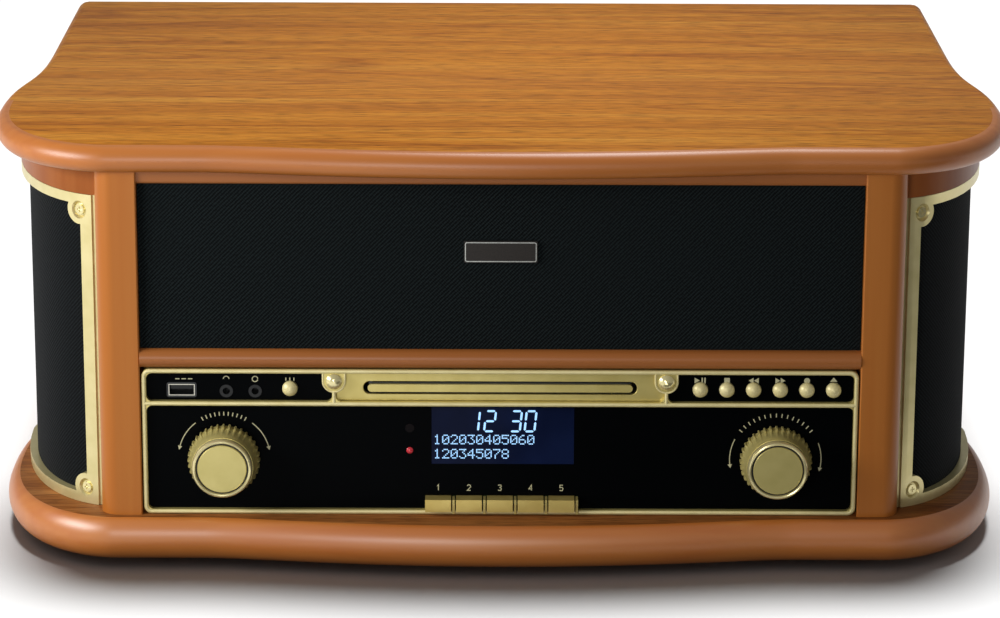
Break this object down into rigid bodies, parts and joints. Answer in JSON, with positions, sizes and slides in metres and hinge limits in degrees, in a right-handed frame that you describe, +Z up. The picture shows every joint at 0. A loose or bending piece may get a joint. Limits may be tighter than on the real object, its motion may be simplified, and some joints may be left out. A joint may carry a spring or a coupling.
{
  "type": "stereo music centre",
  "caption": "Table-top wooden music centre with a hinged lid over a record deck, a disc drawer, a clock radio panel, two turned knobs and cloth-covered speakers in its curved sides.",
  "frame": {"origin": "on the table, under the middle of the outer box", "axes": "+X to the right as seen from the front, +Y to the back, +Z up"},
  "size_m": [0.5148, 0.3874, 0.218],
  "materials": {
    "aluminium": "plain",
    "bearing_brass": "plain",
    "black_panel": "gloss black",
    "board_green": "circuit board",
    "brass": "satin lacquered",
    "cartridge_red": "gloss",
    "case_wood": "satin veneer",
    "cloth": "woven speaker cloth",
    "dark_plastic": "matt",
    "fibreboard": "dark painted fibreboard",
    "front_wood": "satin",
    "knob_brass": "satin turned",
    "lamp": "clear red lens",
    "platter_metal": "painted dark",
    "rubber": "matt",
    "screen": "tinted window",
    "sensor": "dark red window",
    "speaker": "frame, magnet and cone",
    "steel": "brushed"
  },
  "bodies": {
    "case": {"base_board": "case_wood", "feet": "rubber", "side_wall_left": "case_wood", "side_wall_right": "case_wood", "front_frame": "front_wood", "front_grille": "cloth", "name_plate": "dark_plastic", "side_cloths": "cloth", "side_frames": "brass", "trim_screws": "brass", "speakers": "speaker", "back_panel": "fibreboard", "rear_sockets": "dark_plastic", "deck_plate": "dark_plastic", "turntable_motor": "steel", "spindle_bearing": "bearing_brass", "tonearm_base": "dark_plastic", "disc_chassis": "aluminium", "main_board": "board_green", "power_supply": "steel", "control_board": "board_green", "control_bezel": "brass", "fascia": "black_panel", "disc_plate": "brass", "display": "screen", "front_sockets": "steel", "sensor_window": "sensor", "power_lamp": "lamp", "case_hinges": "bearing_brass", "drive_belt": "rubber"},
    "lid": {"lid": "case_wood", "lid_hinges": "bearing_brass"},
    "stay": {"stay_arm": "steel"},
    "platter": {"platter": "platter_metal", "platter_mat": "rubber"},
    "pulley": {"motor_pulley": "steel"},
    "gimbal": {"arm_gimbal": "steel"},
    "arm": {"tonearm": "aluminium", "cartridge": "cartridge_red"},
    "cue_lever": {"cue_lever": "aluminium"},
    "cue_lift": {"cue_lift": "dark_plastic"},
    "speed_lever": {"speed_lever": "dark_plastic"},
    "drawer": {"disc_tray": "dark_plastic", "tray_bar": "brass"},
    "volume_push": {"volume_shaft": "steel"},
    "volume_turn": {"volume_knob": "knob_brass"},
    "tuning_push": {"tuning_shaft": "steel"},
    "tuning_turn": {"tuning_knob": "knob_brass"},
    "function_button": {"function_button": "brass"},
    "play_button": {"play_button": "brass"},
    "stop_button": {"stop_button": "brass"},
    "back_button": {"back_button": "brass"},
    "forward_button": {"forward_button": "brass"},
    "record_button": {"record_button": "brass"},
    "open_button": {"open_button": "brass"},
    "key_1": {"key_1": "brass"},
    "key_2": {"key_2": "brass"},
    "key_3": {"key_3": "brass"},
    "key_4": {"key_4": "brass"},
    "key_5": {"key_5": "brass"}
  },
  "joints": [
    {"name": "lid_hinge", "type": "hinge", "parent": "case", "child": "lid", "pos_m": [0, 0.19075, 0.204], "axis": [-1, 0, 0], "range_deg": [0, 62]},
    {"name": "stay_pivot", "type": "hinge", "parent": "lid", "child": "stay", "pos_m": [-0.211, 0.07293, 0.19741], "axis": [-1, 0, 0], "range_deg": [-31, 0]},
    {"name": "platter_spin", "type": "hinge", "parent": "case", "child": "platter", "pos_m": [-0.04, 0.01025, 0.174], "axis": [0, 0, 1], "continuous": true},
    {"name": "pulley_spin", "type": "hinge", "parent": "case", "child": "pulley", "pos_m": [-0.10505, -0.0548, 0.163], "axis": [0, 0, 1], "continuous": true},
    {"name": "arm_swing", "type": "hinge", "parent": "case", "child": "gimbal", "pos_m": [0.125, 0.12525, 0.189], "axis": [0, 0, -1], "range_deg": [0, 37]},
    {"name": "arm_lift", "type": "hinge", "parent": "gimbal", "child": "arm", "pos_m": [0.125, 0.12525, 0.189], "axis": [-1, 0, 0], "range_deg": [0, 2.4]},
    {"name": "cue_lever_turn", "type": "hinge", "parent": "case", "child": "cue_lever", "pos_m": [0.149, 0.09025, 0.172], "axis": [-1, 0, 0], "range_deg": [0, 45.1]},
    {"name": "cue_lift_rise", "type": "slide", "parent": "case", "child": "cue_lift", "axis": [0, 0, 1], "range_m": [0, 0.00147]},
    {"name": "speed_turn", "type": "hinge", "parent": "case", "child": "speed_lever", "pos_m": [0.095, -0.12175, 0.16], "axis": [0, 0, 1], "range_deg": [-25, 25]},
    {"name": "drawer_slide", "type": "slide", "parent": "case", "child": "drawer", "axis": [0, -1, 0], "range_m": [0, 0.13]},
    {"name": "volume_press", "type": "slide", "parent": "case", "child": "volume_push", "axis": [0, 1, 0], "range_m": [0, 0.001], "stiffness_N_per_m": 400},
    {"name": "volume_spin", "type": "hinge", "parent": "volume_push", "child": "volume_turn", "pos_m": [-0.1384, -0.17175, 0.0561], "axis": [0, -1, 0], "continuous": true},
    {"name": "tuning_press", "type": "slide", "parent": "case", "child": "tuning_push", "axis": [0, 1, 0], "range_m": [0, 0.001], "stiffness_N_per_m": 400},
    {"name": "tuning_spin", "type": "hinge", "parent": "tuning_push", "child": "tuning_turn", "pos_m": [0.1384, -0.17175, 0.0561], "axis": [0, -1, 0], "continuous": true},
    {"name": "function_button_press", "type": "slide", "parent": "case", "child": "function_button", "axis": [0, 1, 0], "range_m": [0, 0.001], "stiffness_N_per_m": 300},
    {"name": "play_button_press", "type": "slide", "parent": "case", "child": "play_button", "axis": [0, 1, 0], "range_m": [0, 0.001], "stiffness_N_per_m": 300},
    {"name": "stop_button_press", "type": "slide", "parent": "case", "child": "stop_button", "axis": [0, 1, 0], "range_m": [0, 0.001], "stiffness_N_per_m": 300},
    {"name": "back_button_press", "type": "slide", "parent": "case", "child": "back_button", "axis": [0, 1, 0], "range_m": [0, 0.001], "stiffness_N_per_m": 300},
    {"name": "forward_button_press", "type": "slide", "parent": "case", "child": "forward_button", "axis": [0, 1, 0], "range_m": [0, 0.001], "stiffness_N_per_m": 300},
    {"name": "record_button_press", "type": "slide", "parent": "case", "child": "record_button", "axis": [0, 1, 0], "range_m": [0, 0.001], "stiffness_N_per_m": 300},
    {"name": "open_button_press", "type": "slide", "parent": "case", "child": "open_button", "axis": [0, 1, 0], "range_m": [0, 0.001], "stiffness_N_per_m": 300},
    {"name": "key_1_press", "type": "slide", "parent": "case", "child": "key_1", "axis": [0, 1, 0], "range_m": [0, 0.001], "stiffness_N_per_m": 300},
    {"name": "key_2_press", "type": "slide", "parent": "case", "child": "key_2", "axis": [0, 1, 0], "range_m": [0, 0.001], "stiffness_N_per_m": 300},
    {"name": "key_3_press", "type": "slide", "parent": "case", "child": "key_3", "axis": [0, 1, 0], "range_m": [0, 0.001], "stiffness_N_per_m": 300},
    {"name": "key_4_press", "type": "slide", "parent": "case", "child": "key_4", "axis": [0, 1, 0], "range_m": [0, 0.001], "stiffness_N_per_m": 300},
    {"name": "key_5_press", "type": "slide", "parent": "case", "child": "key_5", "axis": [0, 1, 0], "range_m": [0, 0.001], "stiffness_N_per_m": 300}
  ],
  "couplings": [
    {"joint": "stay_pivot", "follows": "lid_hinge", "ratio": -0.5},
    {"joint": "pulley_spin", "follows": "platter_spin", "ratio": 9.1667},
    {"joint": "arm_lift", "follows": "cue_lift_rise", "rad_per_m": 28.571},
    {"joint": "cue_lever_turn", "follows": "cue_lift_rise", "rad_per_m": 535.7}
  ]
}
